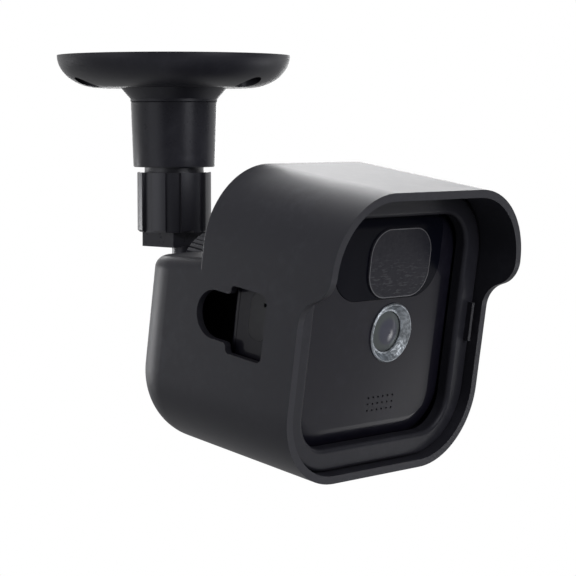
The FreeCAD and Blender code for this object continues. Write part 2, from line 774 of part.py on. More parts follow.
def rear_ribs():
    """Upright ribs behind the camera that stop it sliding back."""
    half = RIB_THICK / 2
    start = CAMERA_BACK + SLIDE_FIT
    within = rear_form(SHELL_WALL / 2)
    ribs = []
    for place in (-REAR_RIB_X, REAR_RIB_X):
        low = -HOOD_HALF_HEIGHT + REAR_RIB_LOW
        rib = block(place - half, place + half, start, REAR_BACK, low, HOOD_HALF_HEIGHT)
        ribs.append(rib.common(within))
    return ribs


def housing_shell():
    """Hood, rear box, ball socket and ribs, one moulding."""
    hood = hood_form(0.0)
    hood = hood.makeFillet(HOOD_BACK_EDGE, edges_at(hood, "y", HOOD_LENGTH))
    body = hood.cut(visor_cutter()).fuse(rear_form(0.0))
    ahead = hood_form(SHELL_WALL)
    body = body.cut(ahead).cut(rear_form(SHELL_WALL))
    inner_depth = BALL_Y - BALL_R - BALL_FIT - SEAT_FLOOR - FACE_FIT
    cup_r = BALL_R + BALL_FIT + SEAT_WALL + SHAFT_FIT
    socket = depth_rod(cup_r + SOCKET_WALL, inner_depth - SOCKET_FLOOR, REAR_BACK - SHELL_WALL / 2,
                       0, SOCKET_Z)
    boss = depth_rod(SOCKET_R, REAR_BACK - SHELL_WALL, REAR_BACK + SOCKET_PROUD, 0, SOCKET_Z)
    socket = socket.fuse(boss)
    body = body.fuse(socket)
    for rib in camera_ribs() + rear_ribs():
        body = body.fuse(rib)
    body = body.cut(depth_rod(cup_r, inner_depth, REAR_BACK + SOCKET_PROUD + CUT, 0, SOCKET_Z))
    return body.cut(port_cutter())


def frame_prism(inset, front, back):
    """Outer outline of the front frame, inset, between two depths."""
    edge = SHELL_WALL + SLIDE_FIT + inset
    return window_prism(HOOD_HALF - edge, -HOOD_HALF_HEIGHT + edge, HOOD_HALF_HEIGHT - edge,
                        HOOD_LOW_ROUND - edge, HOOD_TOP_ROUND - edge, front, back)


def opening_prism(grow, front, back):
    """Opening of the front frame, grown by a wall, between two depths."""
    return window_prism(OPENING_HALF + grow, OPENING_LOW - grow, OPENING_HIGH + grow,
                        OPENING_ROUND + grow, OPENING_ROUND + grow, front, back)


def front_frame():
    """Snap-in frame: face, outer skirt, inner tunnel and a pull tab."""
    body = frame_prism(0.0, FRAME_RECESS, FRAME_BACK)
    groove = frame_prism(FRAME_SKIRT, FRAME_RECESS + FRAME_FACE, FRAME_BACK + CUT)
    groove = groove.cut(opening_prism(TUNNEL_WALL, FRAME_RECESS, FRAME_BACK + CUT))
    body = body.cut(groove).cut(opening_prism(0.0, FRAME_RECESS - CUT, FRAME_BACK + CUT))
    front = edges_at(body, "y", FRAME_RECESS)
    inner = [e for e in front if abs(e.CenterOfMass.x) < OPENING_HALF + PICK
             and OPENING_LOW - PICK < e.CenterOfMass.z < OPENING_HIGH + PICK]
    body = body.makeFillet(OPENING_EDGE, inner)
    tab_x = HOOD_HALF - SHELL_WALL - SLIDE_FIT - TAB_INSET
    tab = block(tab_x - TAB_THICK / 2, tab_x + TAB_THICK / 2, FRAME_RECESS - TAB_PROUD,
                FRAME_RECESS + FRAME_FACE / 2, -TAB_LENGTH / 2, TAB_LENGTH / 2)
    return body.fuse(tab)


def camera_prism(inset, front, back):
    half = CAMERA_HALF - inset
    return window_prism(half, -half, half, CAMERA_ROUND - inset, CAMERA_ROUND - inset, front, back)


def camera_pillow(inset, back):
    """Camera form with its front edge deeply rounded, inset by a wall."""
    front = FACE_Y + inset
    form = camera_prism(inset, front, back)
    return form.makeFillet(CAMERA_EDGE - inset, edges_at(form, "y", front))


def window_cut(grow, front, back):
    return window_prism(WINDOW_HALF + grow, WINDOW_Z - WINDOW_HALF_HEIGHT - grow,
                        WINDOW_Z + WINDOW_HALF_HEIGHT + grow, WINDOW_ROUND + grow, WINDOW_ROUND + grow,
                        front, back, FACE_X)


def panel_form(grow, front, back):
    """Glossy panel round the motion window, its lower corners large."""
    return window_prism(PANEL_HALF + grow, PANEL_LOW - grow, PANEL_HIGH + grow, PANEL_ROUND + grow,
                        PANEL_TOP_ROUND, front, back, PANEL_X)


def sound_holes():
    holes = []
    for row in range(SOUND_ROWS):
        for column in range(SOUND_COLUMNS):
            x = SOUND_X + (column - (SOUND_COLUMNS - 1) / 2) * SOUND_PITCH_X
            z = SOUND_Z + (row - (SOUND_ROWS - 1) / 2) * SOUND_PITCH_Z
            holes.append(depth_rod(SOUND_HOLE_R, FACE_Y - CUT, FACE_Y + CAMERA_WALL + CUT, x, z))
    return holes


def post_places():
    return [(sx * POST_X, sz * POST_X) for sx in (-1, 1) for sz in (-1, 1)]


def camera_face():
    """Front cover: pillow-like face with its skirt, board posts and openings."""
    back = FACE_Y + CAMERA_SKIRT
    cover = camera_pillow(0.0, back).cut(camera_pillow(CAMERA_WALL, back + CUT))
    for x, z in post_places():
        cover = cover.fuse(depth_rod(POST_R, FACE_Y + CAMERA_WALL / 2, BOARD_FRONT, x, z))
    under = camera_pillow(PANEL_THICK - PANEL_PROUD, back + CUT)
    cover = cover.cut(panel_form(SEAT_FIT, FACE_Y - CUT, back).cut(under))
    through = FACE_Y + CAMERA_WALL + CUT
    cover = cover.cut(window_cut(-WINDOW_WALL, FACE_Y - CUT, through))
    cover = cover.cut(depth_rod(LENS_SPIGOT_R + SEAT_FIT, FACE_Y - CUT, through, FACE_X, LENS_Z))
    for hole in sound_holes():
        cover = cover.cut(hole)
    tip = BOARD_BACK - BOARD_SCREW_LENGTH
    for x, z in post_places():
        cover = cover.cut(depth_rod(BOARD_SCREW_R, tip, BOARD_FRONT + CUT, x, z))
    return cover.cut(bung_form(BUNG_FIT, -CAMERA_HALF - CUT, -CAMERA_HALF + CAMERA_WALL + CUT))


def sensor_panel():
    """Glossy skin that follows the face's rounding above the window."""
    back = FACE_Y + CAMERA_SKIRT
    skin = camera_pillow(-PANEL_PROUD, back).cut(camera_pillow(PANEL_THICK - PANEL_PROUD, back + CUT))
    panel = skin.common(panel_form(0.0, FACE_Y - CUT, back))
    return panel.cut(window_cut(-WINDOW_WALL, FACE_Y - CUT, FACE_Y + CUT))


def motion_window():
    """Nearly flush cover of the motion sensor, hollow behind."""
    back = FACE_Y - PANEL_PROUD
    front = back - WINDOW_PROUD
    outer = window_cut(0.0, front, back)
    outer = outer.makeFillet(WINDOW_CROWN, edges_at(outer, "y", front))
    foot = window_cut(-WINDOW_WALL - SEAT_FIT, back - WINDOW_PROUD / 2, FACE_Y + CAMERA_WALL)
    hollow = window_cut(-2 * WINDOW_WALL, front + WINDOW_WALL, FACE_Y + CAMERA_WALL + CUT)
    return outer.fuse(foot).cut(hollow)


def lens_ring():
    """Bright bezel with a funnel and a land down to the glass and a spigot in the face."""
    front = FACE_Y - LENS_RING_PROUD
    bore = LENS_GLASS_R + SEAT_FIT
    return turned_depth([
        (LENS_RING_R, FACE_Y),
        (LENS_RING_R, front + LENS_RING_EDGE),
        (LENS_RING_R - LENS_RING_EDGE, front),
        (LENS_MOUTH_R, front),
        (bore + LENS_LAND, GLASS_FRONT - LENS_LAND_DEPTH),
        (bore, GLASS_FRONT - LENS_LAND_DEPTH),
        (bore, GLASS_BACK),
        (LENS_SPIGOT_R, GLASS_BACK),
        (LENS_SPIGOT_R, FACE_Y),
    ], FACE_X, LENS_Z)


def lens_form(edge_r, ball_r, front, back):
    """Lens with a plain back and a ball-shaped front whose rim lies at a depth."""
    sink = ball_r - math.sqrt(ball_r ** 2 - edge_r ** 2)
    reach = math.asin(edge_r / ball_r)
    dome = []
    for angle in (0, reach / 2, reach):
        depth = front - sink + ball_r * (1 - math.cos(angle))
        dome.append(Vector(FACE_X + ball_r * math.sin(angle), depth, LENS_Z))
    back_edge = Vector(FACE_X + edge_r, back, LENS_Z)
    middle = Vector(FACE_X, back, LENS_Z)
    edges = [
        Part.Arc(*dome).toShape(),
        line(dome[2], back_edge),
        line(back_edge, middle),
        line(middle, dome[0]),
    ]
    return closed_face(edges).revolve(middle, BACK, 360)


def lens_glass():
    ball_r = (LENS_GLASS_R ** 2 + LENS_DOME ** 2) / (2 * LENS_DOME)
    return lens_form(LENS_GLASS_R, ball_r, GLASS_FRONT, GLASS_BACK)


def lens_barrel():
    """Dark stepped barrel between the glass and the image sensor."""
    return turned_depth([
        (BARREL_BORE_R, GLASS_BACK),
        (BARREL_R, GLASS_BACK),
        (BARREL_R, BOARD_FRONT),
        (BARREL_RECESS_R, BOARD_FRONT),
        (BARREL_RECESS_R, ELEMENT_BACK),
        (BARREL_BORE_R, ELEMENT_BACK),
    ], FACE_X, LENS_Z)


def lens_element():
    """Curved inner lens held in the barrel."""
    sink = ELEMENT_R - math.sqrt(ELEMENT_R ** 2 - BARREL_BORE_R ** 2)
    return lens_form(BARREL_BORE_R, ELEMENT_R, GLASS_BACK + FACE_FIT + sink, ELEMENT_BACK)


def back_form(inset):
    """Square rim of the back cover with the battery bulge behind it, inset by a wall."""
    front = CASE_FRONT - inset
    edge_back = BODY_BACK - inset
    bulge_back = CAMERA_BACK - inset
    rim = camera_prism(inset, front, edge_back)
    bulge = camera_prism(inset + BULGE_INSET, front, bulge_back)
    bulge = bulge.makeFillet(BULGE_ROUND - inset, edges_at(bulge, "y", bulge_back))
    return rim, bulge


def back_cover():
    """Removable back of the camera: a short rim and the battery bulge, open to the front."""
    rim, bulge = back_form(0.0)
    rim = rim.makeFillet(CAMERA_BODY_EDGE, edges_at(rim, "y", BODY_BACK))
    hollow_rim, hollow_bulge = back_form(CAMERA_WALL)
    return rim.fuse(bulge).cut(hollow_rim).cut(hollow_bulge)


def bung_form(grow, x0, x1):
    """Rounded rectangle through the camera's left side."""
    y = FACE_Y + BUNG_Y
    form = block(x0, x1, y - BUNG_HALF - grow, y + BUNG_HALF + grow,
                 BUNG_Z - BUNG_HALF_HEIGHT - grow, BUNG_Z + BUNG_HALF_HEIGHT + grow)
    corners = [e for e in form.Edges if e.BoundBox.XLength > (x1 - x0) / 2]
    return form.makeFillet(BUNG_ROUND + grow, corners)


def port_bung():
    """Rubber bung in the camera's charging socket, with a nail notch."""
    outside = -CAMERA_HALF
    bung = bung_form(0.0, outside, outside + BUNG_DEPTH)
    y = FACE_Y + BUNG_Y - BUNG_HALF
    notch = block(outside - CUT, outside + BUNG_NOTCH, y - CUT, y + BUNG_HALF / 2,
                  BUNG_NOTCH_Z, BUNG_NOTCH_Z + BUNG_NOTCH)
    return bung.cut(notch)


def circuit_board():
    board = window_prism(BOARD_HALF, -BOARD_HALF, BOARD_HALF, BOARD_ROUND, BOARD_ROUND,
                         BOARD_FRONT, BOARD_BACK)
    hole_r = BOARD_SCREW_R + SEAT_FIT
    for x, z in post_places():
        board = board.cut(depth_rod(hole_r, BOARD_FRONT - CUT, BOARD_BACK + CUT, x, z))
    return board


def image_sensor():
    back = BOARD_FRONT
    return block(FACE_X - SENSOR_HALF, FACE_X + SENSOR_HALF, back - SENSOR_THICK, back,
                 LENS_Z - SENSOR_HALF, LENS_Z + SENSOR_HALF)


def motion_sensor():
    can = depth_rod(PIR_R, BOARD_FRONT - PIR_HEIGHT, BOARD_FRONT, FACE_X, WINDOW_Z)
    rim = depth_rod(PIR_R + PIR_RIM, BOARD_FRONT - PIR_RIM, BOARD_FRONT, FACE_X, WINDOW_Z)
    return can.fuse(rim)


def speaker():
    front = FACE_Y + CAMERA_WALL
    dish_r = SPEAKER_R - SPEAKER_RIM
    ring = depth_rod(SPEAKER_R, front, front + SPEAKER_THICK, SOUND_X, SPEAKER_Z)
    return ring.cut(depth_rod(dish_r, front - CUT, front + SPEAKER_DISH, SOUND_X, SPEAKER_Z))


def board_screws():
    screws = []
    for x, z in post_places():
        screw = depth_rod(BOARD_SCREW_R, BOARD_BACK - BOARD_SCREW_LENGTH, BOARD_BACK, x, z)
        head = depth_rod(BOARD_SCREW_HEAD_R, BOARD_BACK, BOARD_BACK + BOARD_SCREW_HEAD, x, z)
        screws.append(screw.fuse(head))
    return Part.makeCompound(screws)


def battery_tray():
    """Thin tray behind the board with a wall round the two cells."""
    half = CELL_PITCH / 2 + CELL_R + SEAT_FIT + TRAY_WALL
    reach = CELL_LENGTH / 2 + CONTACT_THICK + SEAT_FIT + TRAY_WALL
    low, high = CELL_Z - reach, CELL_Z + reach
    front = BOARD_BACK + BOARD_SCREW_HEAD
    tray = block(-half, half, front, CELL_Y + CELL_R / 2, low, high)
    inner = block(-half + TRAY_WALL, half - TRAY_WALL, TRAY_BACK, CELL_Y + CELL_R,
                  low + TRAY_WALL, high - TRAY_WALL)
    return tray.cut(inner)


def battery(side):
    """Cylindrical cell with its nub, upright in the tray."""
    x = side * CELL_PITCH / 2
    low = CELL_Z - CELL_LENGTH / 2
    body_top = low + CELL_LENGTH - CELL_NUB
    can = post_rod(CELL_R, body_top, low, x, CELL_Y)
    nub = post_rod(CELL_NUB_R, body_top + CELL_NUB, body_top, x, CELL_Y)
    return can.fuse(nub)


def battery_contacts():
    """Sheet contacts at both ends of the tray."""
    strips = []
    reach = CELL_PITCH / 2 + CELL_R / 2
    for end in (-1, 1):
        z = CELL_Z + end * CELL_LENGTH / 2
        z0, z1 = sorted((z, z + end * CONTACT_THICK))
        strips.append(block(-reach, reach, TRAY_BACK, CELL_Y + CONTACT_REACH, z0, z1))
    return Part.makeCompound(strips)


def build():
    os.makedirs("parts", exist_ok=True)
    save("ceiling_plate", ceiling_plate())
    save("post_sleeve", post_sleeve())
    save("post_washer", post_washer())
    save("post_screw", post_screw())
    save("thrust_washer", flat_washer(SLEEVE_BORE_Z, THRUST_BORE_R))
    save("friction_washer", flat_washer(FRICTION_TOP_Z, SPINDLE_R + SEAT_FIT))
    save("lock_nut", lock_nut())
    save("swivel_block", swivel_block())
    save("ball_stud", ball_stud())
    head = {
        "ball_seat": ball_seat(),
        "clamp_ring": clamp_ring(),
        "housing_shell": housing_shell(),
        "front_frame": front_frame(),
        "camera_face": camera_face(),
        "sensor_panel": sensor_panel(),
        "motion_window": motion_window(),
        "lens_ring": lens_ring(),
        "lens_glass": lens_glass(),
        "lens_barrel": lens_barrel(),
        "lens_element": lens_element(),
        "back_cover": back_cover(),
        "port_bung": port_bung(),
        "circuit_board": circuit_board(),
        "image_sensor": image_sensor(),
        "motion_sensor": motion_sensor(),
        "speaker": speaker(),
        "board_screws": board_screws(),
        "battery_tray": battery_tray(),
        "battery_left": battery(-1),
        "battery_right": battery(1),
        "battery_contacts": battery_contacts(),
    }
    for name, shape in head.items():
        save(name, place_head(shape))


build()
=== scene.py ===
import json
import math

import bmesh
import bpy
from mathutils import Matrix, Vector


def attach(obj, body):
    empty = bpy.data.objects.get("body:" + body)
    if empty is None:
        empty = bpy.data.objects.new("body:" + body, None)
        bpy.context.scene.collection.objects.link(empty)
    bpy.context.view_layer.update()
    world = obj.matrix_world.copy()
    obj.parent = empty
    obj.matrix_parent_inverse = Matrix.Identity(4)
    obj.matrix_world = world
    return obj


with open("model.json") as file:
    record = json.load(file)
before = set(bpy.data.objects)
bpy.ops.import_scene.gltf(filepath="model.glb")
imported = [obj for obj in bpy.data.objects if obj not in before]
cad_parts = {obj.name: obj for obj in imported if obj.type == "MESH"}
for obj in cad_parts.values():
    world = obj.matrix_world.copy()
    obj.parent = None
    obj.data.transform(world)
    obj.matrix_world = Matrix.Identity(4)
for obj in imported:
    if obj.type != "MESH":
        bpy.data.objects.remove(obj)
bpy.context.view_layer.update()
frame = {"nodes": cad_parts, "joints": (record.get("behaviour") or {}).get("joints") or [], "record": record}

# The camera, as the photograph's outlines give it. Turns and rises are in degrees, lengths in metres.
PICTURE_PX = 576
FOCAL_PX = 1950.03
PLATE_CENTRE_PX = (173.745, 55.693)
PLATE_DISTANCE = 0.575403
CAMERA_TURN = -46.609
CAMERA_RISE = 4.846
SENSOR_MM = 36.0
NEAREST_SEEN = 0.01

# The head's own frame: y runs back from the lower front rim and z up from mid height.
HEAD_PITCH = math.radians(8.63)
BALL_BACK = 0.066
BALL_RISE = 0.0022
JOINTS = {joint["name"]: joint for joint in frame["joints"]}
BALL = Vector(JOINTS["roll"]["pos_m"])

# The motion window and the lens of the camera, in that frame.
FACE_X = 0.0063
WINDOW_FRONT = 0.0063
WINDOW_RISE = 0.0174
WINDOW_WIDTH = 0.0254
WINDOW_HEIGHT = 0.0194
WINDOW_ROUND = 0.0076
LENS_FRONT = 0.0075
LENS_RISE = -0.0022
LENS_PUPIL = 0.0037

# The fine lip round the window. Its pale grey is a painted highlight on the window's rounded rim.
LIP_WIDE = 0.00022
LIP_THICK = 0.0001
LIP_FRONT = 0.00616
LIP_CORNER_STEPS = 12
FACES_ALONG_Y = 0.9

# The places of a Mix node's colour sockets, whose names its other sockets share.
MIX_SHARE = 0
MIX_FIRST = 6
MIX_SECOND = 7
MIX_RESULT = 2

# Gloss and dust of the moulded plastics.
GLOSS_SPREAD = 0.06
COOL_SHEEN = (0.92, 0.93, 1.0, 1.0)
CLEAR_COAT_ROUGH = 0.07
DUST_GAIN = 1.35
DUST_FLOOR = 0.002

# How far the marks of the window stand out, and how much brighter the painted glints on the lens ring are.
WINDOW_MOTTLE = 0.14
WINDOW_DASHES = 0.19
PAINTED_GLINT_GAIN = 1.7

# The studio. The dark room stands before the part, and the world beyond its edge shines white.
WHITE = (1.0, 1.0, 1.0, 1.0)
FLOOR_DROP = 0.62
FLOOR_REACH = 2.6
FLOOR_GREY = 0.4
FLOOR_SHOWN = 0.4
WORLD_FILL = 0.15
ROOM_TURN = -5.5
ROOM_EDGE = 0.334
ROOM_SOFT = 0.08
PART_MIDDLE = (0.0, -0.045, -0.06)
REAR_BOX = (-0.035, 0.01, -0.105)


def in_head(x, y, z):
    """World place of a point of the head's own frame, at rest."""
    back, rise = y - BALL_BACK, z - BALL_RISE
    cos, sin = math.cos(HEAD_PITCH), math.sin(HEAD_PITCH)
    return BALL + Vector((x, back * cos - rise * sin, back * sin + rise * cos))


def direction(turn, rise):
    """Outward direction at a turn round the post and a rise."""
    turn, rise = math.radians(turn), math.radians(rise)
    return Vector((math.sin(turn) * math.cos(rise), -math.cos(turn) * math.cos(rise), math.sin(rise)))


class Value:
    """A socket's value, with Python's signs for its maths."""

    def __init__(self, graph, socket):
        self.graph = graph
        self.socket = socket

    def maths(self, operation, first, second):
        """A sum of two values or plain numbers."""
        return self.graph.node("ShaderNodeMath", {"operation": operation}, {0: first, 1: second})

    def __add__(self, other):
        return self.maths("ADD", self, other)

    def __radd__(self, other):
        return self.maths("ADD", other, self)

    def __sub__(self, other):
        return self.maths("SUBTRACT", self, other)

    def __rsub__(self, other):
        return self.maths("SUBTRACT", other, self)

    def __mul__(self, other):
        return self.maths("MULTIPLY", self, other)

    def __rmul__(self, other):
        return self.maths("MULTIPLY", other, self)

    def at_least(self, other):
        """The larger of two values."""
        return self.maths("MAXIMUM", self, other)

    def between(self, low, high):
        """Low where the value is 0 and high where it is 1."""
        return low + self * (high - low)

    def over(self, edge, soft):
        """0 below an edge and 1 above it, over a soft step."""
        limits = {"From Min": edge - soft, "From Max": edge + soft}
        settings = {"interpolation_type": "SMOOTHSTEP"}
        return self.graph.node("ShaderNodeMapRange", settings, {"Value": self, **limits})

    def beside(self, out):
        """Another output of the node that gives this value."""
        return Value(self.graph, self.socket.node.outputs[out])


class Graph:
    """The nodes of a material or of the world."""

    def __init__(self, owner):
        owner.use_nodes = True
        self.tree = owner.node_tree

    def feed(self, target, value):
        """Links an input to a value of the graph, or sets it to a plain one."""
        if isinstance(value, Value):
            self.tree.links.new(value.socket, target)
        else:
            target.default_value = value

    def node(self, kind, settings=None, values=None, out=0):
        """Adds a node, sets it, feeds it and hands back one output."""
        made = self.tree.nodes.new(kind)
        for name, value in (settings or {}).items():
            setattr(made, name, value)
        for socket, value in (values or {}).items():
            self.feed(made.inputs[socket], value)
        return Value(self, made.outputs[out])

    def show(self, output, shader):
        """Gives a shader to the graph's output node."""
        self.feed(self.tree.nodes[output].inputs["Surface"], shader)

    def blend(self, share, first, second):
        """The second shader over the first by its share."""
        return self.node("ShaderNodeMixShader", values={0: share, 1: first, 2: second})

    def white_share(self, mirrored):
        """1 for the lens's own rays, and the mirrored share for reflected and passed ones."""
        seen = self.node("ShaderNodeLightPath", out="Is Camera Ray")
        turned = seen.beside("Is Glossy Ray").at_least(seen.beside("Is Transmission Ray"))
        return seen.at_least(turned * mirrored)


class Finish(Graph):
    """A material under construction, with its main shader."""

    def __init__(self, name, colour, rough, metal=0.0, **fixed):
        self.material = bpy.data.materials.new(name)
        super().__init__(self.material)
        self.shader = self.tree.nodes["Principled BSDF"]
        self.base = (*colour, 1.0)
        self.set("Base Color", self.base)
        self.set("Roughness", rough)
        self.set("Metallic", metal)
        for socket, value in fixed.items():
            self.set(socket.replace("_", " "), value)

    def set(self, socket, value):
        """Fixes or links one input of the main shader."""
        self.feed(self.shader.inputs[socket], value)

    def place(self):
        """The piece's own coordinates, in metres."""
        return self.node("ShaderNodeTexCoord", out="Object")

    def scaled_place(self, size, stretch=(1, 1, 1)):
        """The same in steps of a size, drawn out along the axes whose stretch is low."""
        scale = [axis / size for axis in stretch]
        return self.node("ShaderNodeMapping", values={"Vector": self.place(), "Scale": scale})

    def noise(self, size, detail=3.0, rough=0.5, stretch=(1, 1, 1)):
        """Soft noise whose lumps are about size metres across."""
        values = {"Scale": 1.0, "Detail": detail, "Roughness": rough}
        return self.node("ShaderNodeTexNoise", None, {"Vector": self.scaled_place(size, stretch), **values})

    def cells(self, size, feature="F1"):
        """Cells about size metres across, with the distance to their middle or their edge."""
        values = {"Vector": self.scaled_place(size), "Scale": 1.0}
        return self.node("ShaderNodeTexVoronoi", {"feature": feature}, values)

    def tint(self, mask, colour):
        """Mixes a second colour in where the mask is high."""
        values = {MIX_SHARE: mask, MIX_FIRST: self.base, MIX_SECOND: (*colour, 1.0)}
        self.set("Base Color", self.node("ShaderNodeMix", {"data_type": "RGBA"}, values, out=MIX_RESULT))

    def relief(self, height, depth):
        """Bump from a height of 0 to 1 over a depth in metres."""
        values = {"Height": height, "Distance": depth, "Strength": 1.0}
        self.set("Normal", self.node("ShaderNodeBump", None, values))


def moulded_plastic(name, colour, rough, shine=0.25, grain=0.00035, coat=0.0):
    """Satin moulding: fine grain, uneven gloss and a little dust."""
    finish = Finish(name, colour, rough, Specular_IOR_Level=shine, Specular_Tint=COOL_SHEEN,
                    Coat_Weight=coat, Coat_Roughness=CLEAR_COAT_ROUGH)
    cloud = finish.noise(size=0.018, detail=4.0, rough=0.6)
    rub = finish.noise(size=0.0035, detail=5.0, rough=0.65)
    finish.set("Roughness", rough - GLOSS_SPREAD + cloud * GLOSS_SPREAD + rub * GLOSS_SPREAD)
    dusty = (cloud * rub).over(edge=0.34, soft=0.12)
    finish.tint(dusty, [channel * DUST_GAIN + DUST_FLOOR for channel in colour])
    finish.relief(finish.noise(grain, detail=2.0), depth=0.000006)
    return finish.material


def polished_plastic(name, colour, rough, shine):
    """Glossy moulding with faint upright smears."""
    finish = Finish(name, colour, rough, Specular_IOR_Level=shine)
    smear = finish.noise(size=0.009, detail=4.0, rough=0.6, stretch=(1.0, 1.0, 0.4))
    finish.set("Roughness", smear.between(rough, rough + 0.12))
    finish.relief(finish.noise(size=0.012, detail=1.0), depth=0.00001)
    return finish.material


def window_plastic(name):
    """Dark window with fine level dashes behind the skin of its lower half."""
    finish = Finish(name, (0.011, 0.011, 0.017), 0.3, Specular_IOR_Level=0.06)
    mottle = finish.noise(size=0.0011, rough=0.6)
    dash = finish.noise(size=0.0011, detail=2.0, rough=0.6, stretch=(0.45, 0.45, 2.4))
    height = finish.node("ShaderNodeSeparateXYZ", None, {"Vector": finish.place()}, out="Z")
    middle = in_head(FACE_X, WINDOW_FRONT, WINDOW_RISE).z
    low = 1 - height.over(middle, soft=0.006)
    pale = mottle * WINDOW_MOTTLE + dash.over(edge=0.6, soft=0.05) * low * WINDOW_DASHES
    finish.tint(pale, (0.15, 0.15, 0.165))
    finish.set("Roughness", mottle.between(0.24, 0.44))
    finish.relief(finish.cells(0.0013), depth=0.00003)
    return finish.material


def plated_metal(name, colour, rough):
    """Plated metal with fine drawn lines."""
    finish = Finish(name, colour, rough, metal=1.0)
    lines = finish.noise(size=0.0012, rough=0.6, stretch=(1, 1, 6))
    finish.set("Roughness", lines.between(rough - 0.05, rough + 0.1))
    finish.relief(lines, depth=0.000008)
    return finish.material


def hammered_metal(name, colour, rough):
    """Bright metal whose skin is broken into small facets in relief, with random brighter patches painted on
    as glints.
    """
    finish = Finish(name, colour, rough, metal=1.0)
    mottle = finish.noise(size=0.0013, rough=0.7)
    # Random brighter patches of colour: painted glints.
    finish.tint(mottle.over(edge=0.52, soft=0.1), [channel * PAINTED_GLINT_GAIN for channel in colour])
    finish.set("Roughness", mottle.between(rough - 0.1, rough + 0.1))
    finish.relief(finish.cells(0.0009), depth=0.00009)
    return finish.material


def coated_glass(name):
    """Coated lens glass: a bluish middle, and round it a paler, greener ring that is a painted reflection of
    the coating.
    """
    finish = Finish(name, (0.075, 0.077, 0.1), 0.1, Specular_IOR_Level=0.2)
    smear = finish.noise(size=0.004, rough=0.6)
    ends = {0: finish.place(), 1: in_head(FACE_X, LENS_FRONT, LENS_RISE)}
    apart = finish.node("ShaderNodeVectorMath", {"operation": "DISTANCE"}, ends, out="Value")
    ring = apart.over(LENS_PUPIL, soft=0.0007)
    # The paler, greener ring is a painted reflection of the lens coating.
    finish.tint(ring * smear.between(0.35, 1.0), (0.1, 0.113, 0.105))
    finish.set("Roughness", smear.between(0.08, 0.16))
    return finish.material


def board_resin(name):
    """Green resin with paler tracks in it."""
    finish = Finish(name, (0.02, 0.1, 0.05), 0.35)
    field = finish.cells(0.0022, "DISTANCE_TO_EDGE").over(edge=0.08, soft=0.02)
    finish.tint(1 - field, (0.04, 0.18, 0.09))
    finish.relief(field, depth=0.00003)
    return finish.material


def floor_paint():
    """Grey matte paint that the lens sees as white."""
    paint = Finish("floor paint", [FLOOR_GREY] * 3, 0.9)
    paint.set("Roughness", paint.noise(0.4).between(0.85, 0.95))
    matte = Value(paint, paint.shader.outputs[0])
    glow = paint.node("ShaderNodeEmission", values={"Strength": 1.0})
    paint.show("Material Output", paint.blend(paint.white_share(FLOOR_SHOWN), matte, glow))
    return paint.material


def finishes():
    """Each material slot of the record with its finish."""
    return {
        "bracket_plastic": moulded_plastic("bracket plastic", (0.019, 0.019, 0.025), 0.42),
        "post_plastic": moulded_plastic("post plastic", (0.021, 0.021, 0.027), 0.28, shine=0.2),
        "nut_plastic": moulded_plastic("nut plastic", (0.012, 0.012, 0.017), 0.38, shine=0.5),
        "housing_plastic": moulded_plastic("housing plastic", (0.019, 0.019, 0.025), 0.46, shine=0.23),
        "frame_plastic": moulded_plastic("frame plastic", (0.015, 0.015, 0.02), 0.42, shine=0.15),
        "camera_plastic": moulded_plastic("camera plastic", (0.006, 0.0056, 0.0105), 0.42, shine=0.1,
                                          grain=0.0004, coat=0.24),
        "dark_gloss": polished_plastic("dark gloss", (0.003, 0.0034, 0.007), 0.1, shine=0.05),
        "window_film": window_plastic("window plastic"),
        "lens_metal": hammered_metal("lens ring metal", (0.26, 0.28, 0.305), 0.46),
        "lens_glass": coated_glass("lens glass"),
        "barrel_black": moulded_plastic("barrel black", (0.012, 0.012, 0.013), 0.6),
        "bung_rubber": moulded_plastic("bung rubber", (0.019, 0.019, 0.021), 0.5),
        "board": board_resin("board resin"),
        "zinc_steel": plated_metal("zinc plate", (0.62, 0.61, 0.58), 0.32),
        "ball_metal": plated_metal("blackened steel", (0.05, 0.05, 0.055), 0.35),
        "slip_plastic": moulded_plastic("slip plastic", (0.5, 0.49, 0.45), 0.4),
        "cell_can": plated_metal("cell can", (0.4, 0.4, 0.43), 0.35),
    }


def dress(finish_of):
    """Gives each CAD node the finish of its slot in the record."""
    slots = {part["node"]: part["material_slot"] for part in frame["record"]["subparts"]}
    for name, node in frame["nodes"].items():
        material = finish_of[slots[name]]
        if not node.material_slots:
            node.data.materials.append(material)
        for place in node.material_slots:
            place.link = "OBJECT"
            place.material = material


def piece_from(form, name, material):
    """Turns a finished bmesh into a piece of the scene."""
    mesh = bpy.data.meshes.new(name)
    form.to_mesh(mesh)
    form.free()
    mesh.materials.append(material)
    piece = bpy.data.objects.new(name, mesh)
    bpy.context.collection.objects.link(piece)
    return piece


